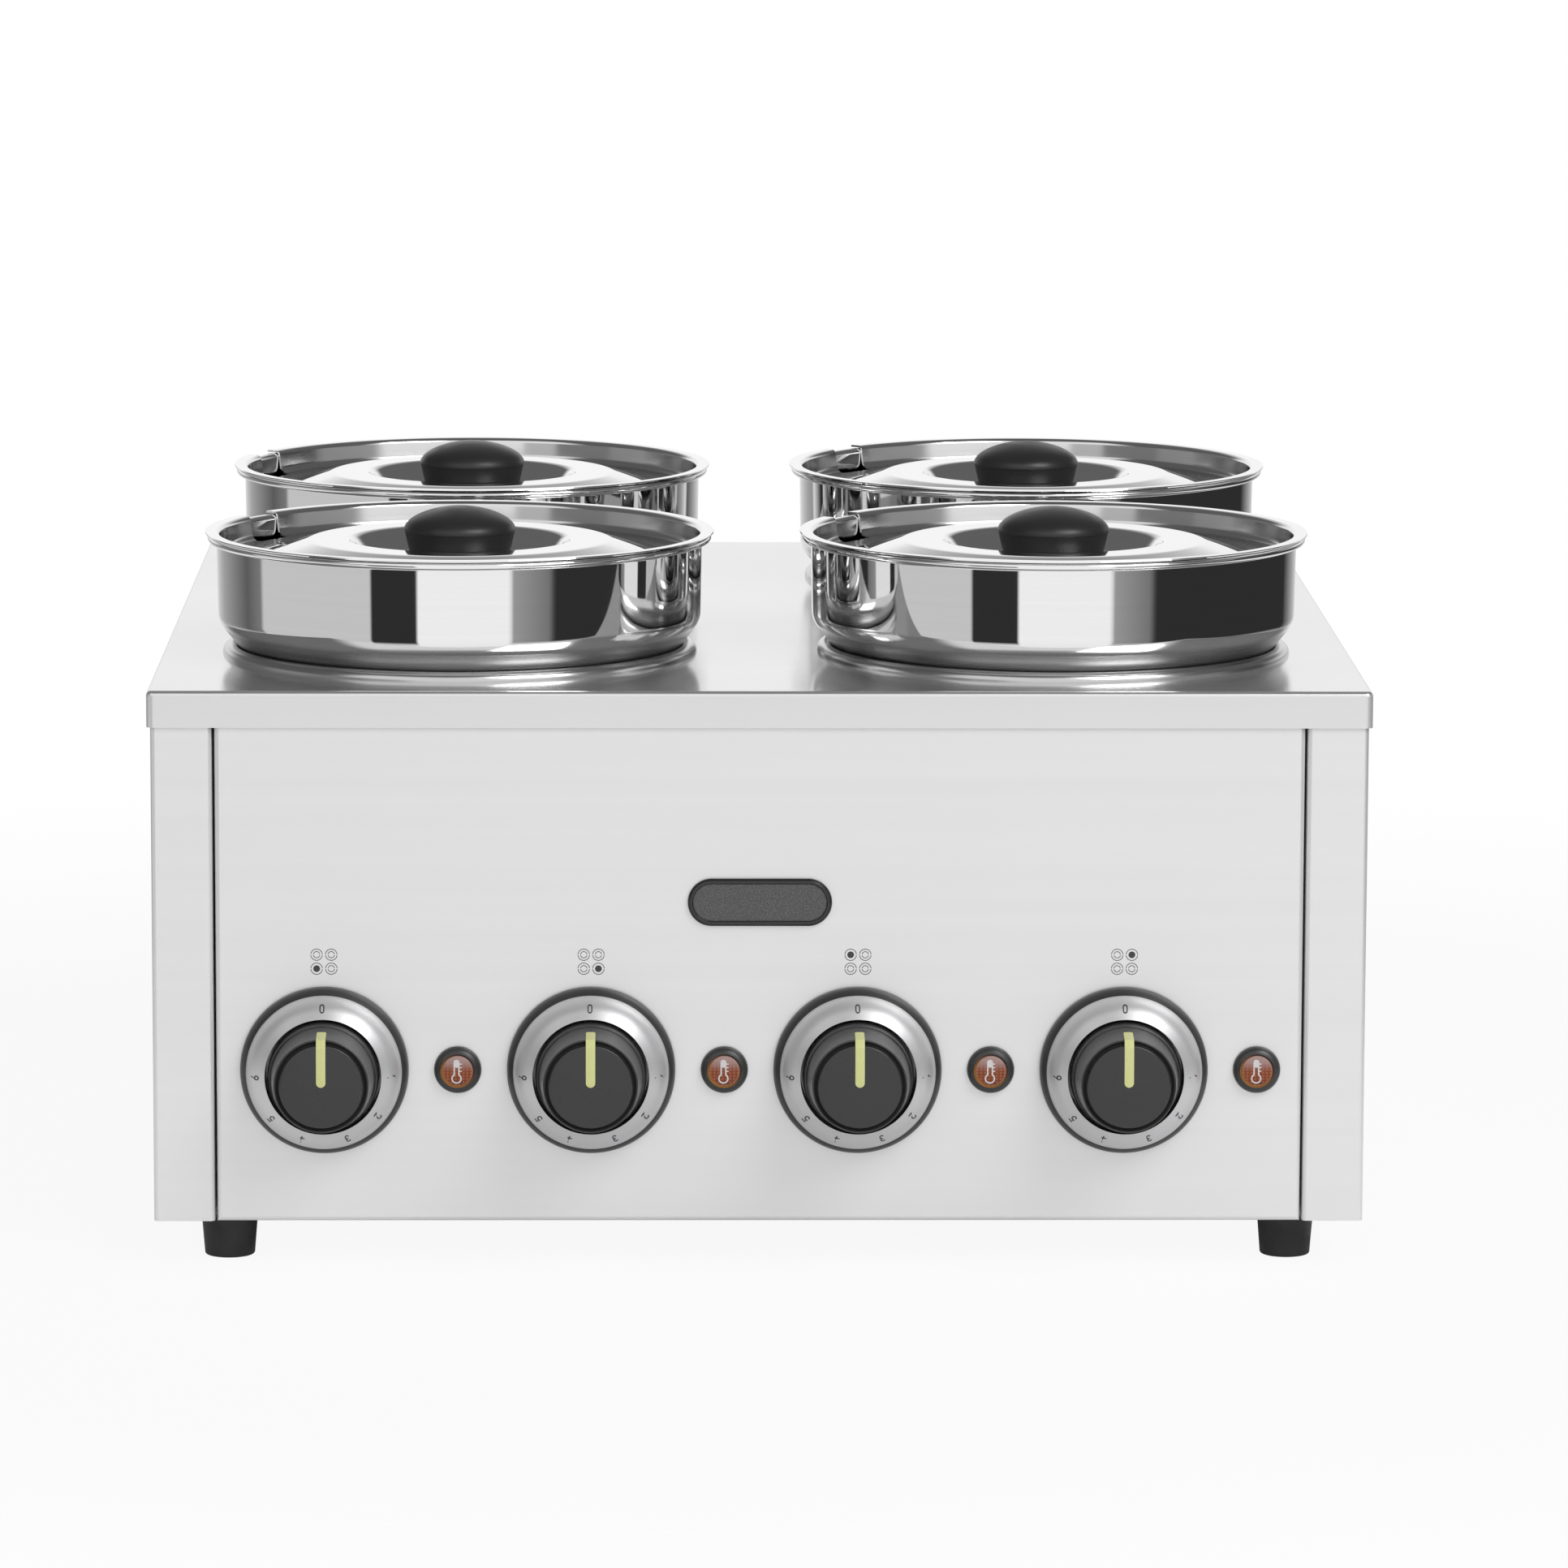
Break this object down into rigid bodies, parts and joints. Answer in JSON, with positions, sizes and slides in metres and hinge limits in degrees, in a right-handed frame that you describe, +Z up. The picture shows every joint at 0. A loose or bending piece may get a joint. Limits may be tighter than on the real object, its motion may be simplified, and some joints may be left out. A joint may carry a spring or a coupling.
{
  "type": "bain marie",
  "caption": "Square stainless bain marie on rubber feet: lidded pots lift from heated wells in its worktop, and front knobs with pilot lamps set the heat of each well.",
  "frame": {"origin": "on the floor under the middle of the whole box, knobs and cable gland included", "axes": "+Z up, the front with its knobs faces -Y, +X to the right seen from the front"},
  "size_m": [0.5, 0.5612, 0.3013],
  "materials": {
    "worktop_steel": "brushed and semi-polished",
    "panel_steel": "brushed, grain level",
    "polished_steel": "mirror polished stainless steel",
    "black_gloss": "glossy moulded",
    "black_satin": "satin moulded",
    "pointer_yellow": "satin inlay",
    "scale_silver": "fine brushed",
    "lens_amber": "translucent amber",
    "rubber_black": "matt",
    "badge_grey": "dark, bare",
    "zinc_steel": "zinc plated",
    "element_metal": "cast",
    "moulding_cream": "moulded",
    "wire_sleeve": "heat-proof sleeve"
  },
  "bodies": {
    "housing": {"top_plate": "worktop_steel", "front_panel": "panel_steel", "rear_panel": "panel_steel", "left_side_panel": "panel_steel", "right_side_panel": "panel_steel", "base_plate": "panel_steel", "well_front_left": "polished_steel", "well_front_right": "polished_steel", "well_rear_left": "polished_steel", "well_rear_right": "polished_steel", "dial_bezels": "black_gloss", "lamp_holders": "black_gloss", "cable_gland": "black_satin", "dial_scales": "scale_silver", "lamp_lenses": "lens_amber", "rubber_feet": "rubber_black", "badge_plate": "badge_grey", "foot_screws": "zinc_steel", "base_screws": "zinc_steel", "element_clamps": "zinc_steel", "element_nuts": "zinc_steel", "regulator_nuts": "zinc_steel", "element_front_left": "element_metal", "element_front_right": "element_metal", "element_rear_left": "element_metal", "element_rear_right": "element_metal", "regulator_1": "moulding_cream", "regulator_2": "moulding_cream", "regulator_3": "moulding_cream", "regulator_4": "moulding_cream", "terminal_block": "moulding_cream", "wiring": "wire_sleeve"},
    "pot_front_left": {"pot_front_left": "polished_steel"},
    "pot_front_right": {"pot_front_right": "polished_steel"},
    "pot_rear_left": {"pot_rear_left": "polished_steel"},
    "pot_rear_right": {"pot_rear_right": "polished_steel"},
    "lid_front_left": {"lid_front_left": "polished_steel", "lid_knob_front_left": "black_satin", "lid_screw_front_left": "zinc_steel"},
    "lid_front_right": {"lid_front_right": "polished_steel", "lid_knob_front_right": "black_satin", "lid_screw_front_right": "zinc_steel"},
    "lid_rear_left": {"lid_rear_left": "polished_steel", "lid_knob_rear_left": "black_satin", "lid_screw_rear_left": "zinc_steel"},
    "lid_rear_right": {"lid_rear_right": "polished_steel", "lid_knob_rear_right": "black_satin", "lid_screw_rear_right": "zinc_steel"},
    "knob_1": {"control_knob_1": "black_satin", "knob_pointer_1": "pointer_yellow", "control_spindle_1": "zinc_steel"},
    "knob_2": {"control_knob_2": "black_satin", "knob_pointer_2": "pointer_yellow", "control_spindle_2": "zinc_steel"},
    "knob_3": {"control_knob_3": "black_satin", "knob_pointer_3": "pointer_yellow", "control_spindle_3": "zinc_steel"},
    "knob_4": {"control_knob_4": "black_satin", "knob_pointer_4": "pointer_yellow", "control_spindle_4": "zinc_steel"}
  },
  "joints": [
    {"name": "pot_lift_front_left", "type": "slide", "parent": "housing", "child": "pot_front_left", "axis": [0, 0, 1], "range_m": [0, 0.14]},
    {"name": "pot_lift_front_right", "type": "slide", "parent": "housing", "child": "pot_front_right", "axis": [0, 0, 1], "range_m": [0, 0.14]},
    {"name": "pot_lift_rear_left", "type": "slide", "parent": "housing", "child": "pot_rear_left", "axis": [0, 0, 1], "range_m": [0, 0.14]},
    {"name": "pot_lift_rear_right", "type": "slide", "parent": "housing", "child": "pot_rear_right", "axis": [0, 0, 1], "range_m": [0, 0.14]},
    {"name": "lid_lift_front_left", "type": "slide", "parent": "pot_front_left", "child": "lid_front_left", "axis": [0, 0, 1], "range_m": [0, 0.08]},
    {"name": "lid_lift_front_right", "type": "slide", "parent": "pot_front_right", "child": "lid_front_right", "axis": [0, 0, 1], "range_m": [0, 0.08]},
    {"name": "lid_lift_rear_left", "type": "slide", "parent": "pot_rear_left", "child": "lid_rear_left", "axis": [0, 0, 1], "range_m": [0, 0.08]},
    {"name": "lid_lift_rear_right", "type": "slide", "parent": "pot_rear_right", "child": "lid_rear_right", "axis": [0, 0, 1], "range_m": [0, 0.08]},
    {"name": "knob_turn_1", "type": "hinge", "parent": "housing", "child": "knob_1", "pos_m": [-0.1782, -0.24035, 0.0834], "axis": [0, 1, 0], "range_deg": [0, 270]},
    {"name": "knob_turn_2", "type": "hinge", "parent": "housing", "child": "knob_2", "pos_m": [-0.069, -0.24035, 0.0834], "axis": [0, 1, 0], "range_deg": [0, 270]},
    {"name": "knob_turn_3", "type": "hinge", "parent": "housing", "child": "knob_3", "pos_m": [0.0402, -0.24035, 0.0834], "axis": [0, 1, 0], "range_deg": [0, 270]},
    {"name": "knob_turn_4", "type": "hinge", "parent": "housing", "child": "knob_4", "pos_m": [0.1494, -0.24035, 0.0834], "axis": [0, 1, 0], "range_deg": [0, 270]}
  ]
}
